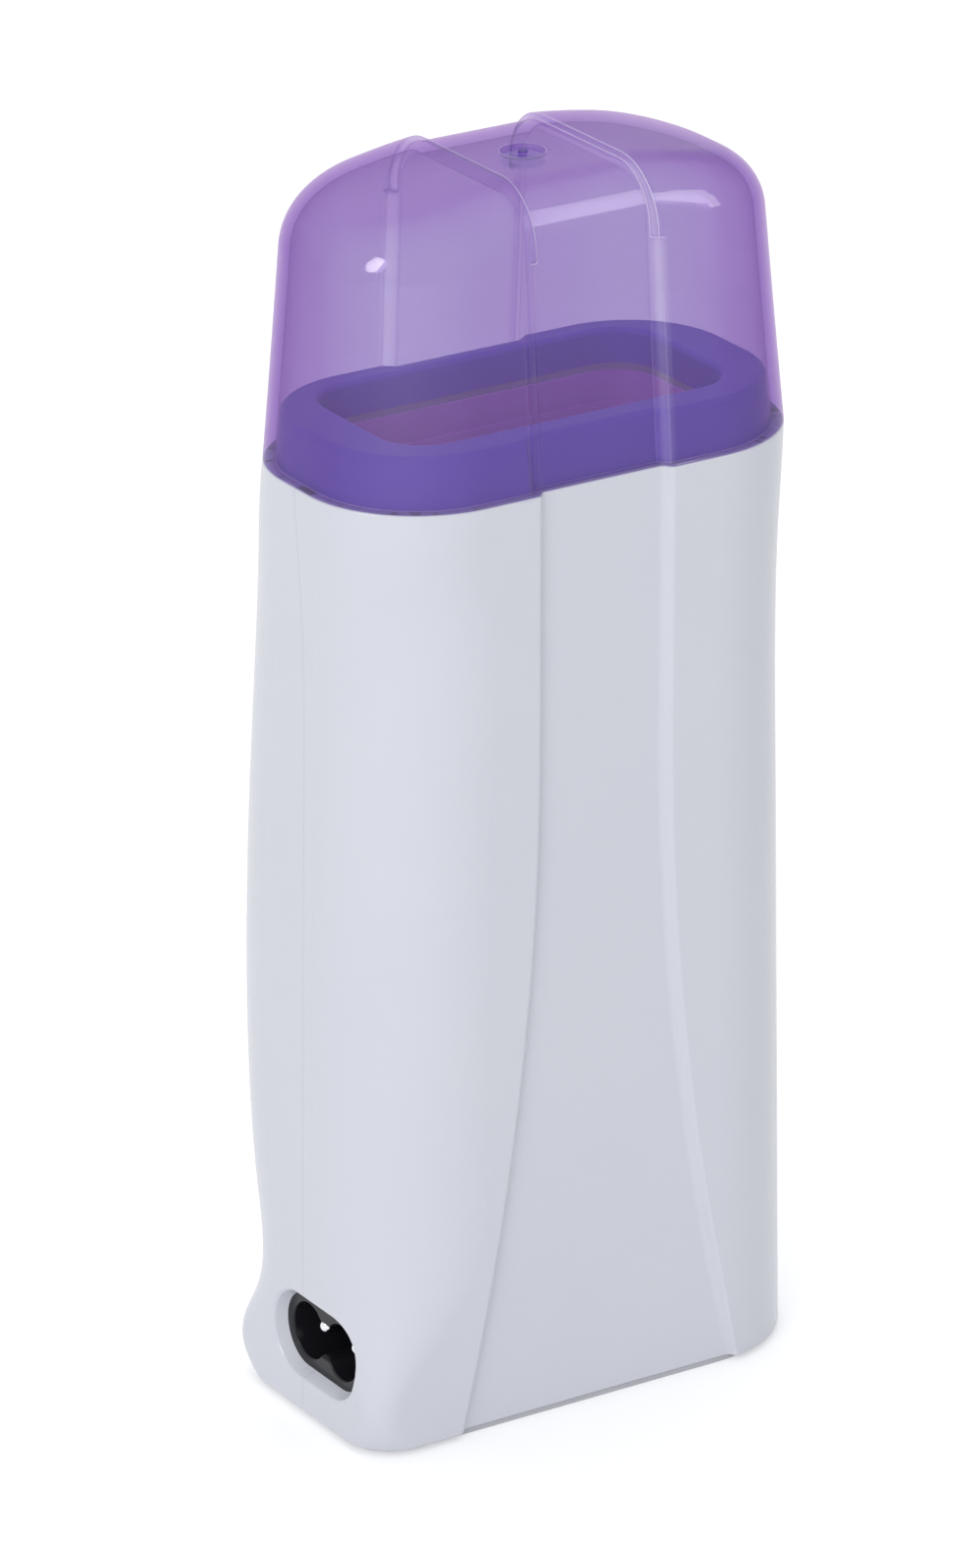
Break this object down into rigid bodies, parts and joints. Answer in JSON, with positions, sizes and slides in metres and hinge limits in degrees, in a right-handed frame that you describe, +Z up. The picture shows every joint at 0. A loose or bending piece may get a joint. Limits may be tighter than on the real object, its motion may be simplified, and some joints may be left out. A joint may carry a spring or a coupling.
{
  "type": "roll-on wax heater",
  "caption": "Upright flat-oval heater for a roll-on wax cartridge: two-shell case with a flaring sunk panel, figure-eight mains inlet low on one end, clear lift-off cap.",
  "frame": {"origin": "centre of the foot's underside, on the surface it stands on, in the plane where the two shells meet", "axes": "+Z up along the heater, +Y to the back, +X to the right seen from the front, so the mains inlet is on the -X end"},
  "size_m": [0.0754, 0.049, 0.1794],
  "materials": {
    "white_shell": "glossy bluish white ABS",
    "white_neck": "glossy white ABS",
    "violet_cap": "clear violet tinted, polished",
    "rubber_foot": "grey rubber",
    "chamber_metal": "rose anodised aluminium sheet",
    "silicone_seal": "dark silicone",
    "inner_plastic": "natural heat-resistant nylon",
    "heater_block": "extruded, with a sealed PTC core",
    "felt": "glass-fibre felt",
    "spring_steel": "formed strip",
    "zinc_steel": "zinc plated",
    "thermostat_case": "black phenolic",
    "fuse_case": "small sealed can",
    "inlet_black": "black moulding",
    "pin_metal": "bright nickel plate",
    "tinned_brass": "tinned brass",
    "lead_white": "white silicone insulation",
    "lead_blue": "blue silicone insulation",
    "lead_brown": "brown silicone insulation"
  },
  "bodies": {
    "case": {"front_shell": "white_shell", "back_shell": "white_shell", "mouth_frame": "white_neck", "foot_pad": "rubber_foot", "case_screws": "zinc_steel", "heating_chamber": "chamber_metal", "chamber_gasket": "silicone_seal", "chamber_cradle": "inner_plastic", "ptc_heater": "heater_block", "heater_strap": "spring_steel", "strap_screws": "zinc_steel", "thermostat": "thermostat_case", "thermal_fuse": "fuse_case", "crimp_sleeves": "tinned_brass", "insulation_felt": "felt", "inlet_socket": "inlet_black", "inlet_pins": "pin_metal", "terminal_receptacles": "tinned_brass", "neutral_lead": "lead_blue", "live_lead": "lead_brown", "link_lead": "lead_white", "return_lead": "lead_white"},
    "cap": {"cap": "violet_cap"}
  },
  "joints": [
    {"name": "cap_lift", "type": "slide", "parent": "case", "child": "cap", "axis": [0, 0, 1], "range_m": [0, 0.09]}
  ]
}
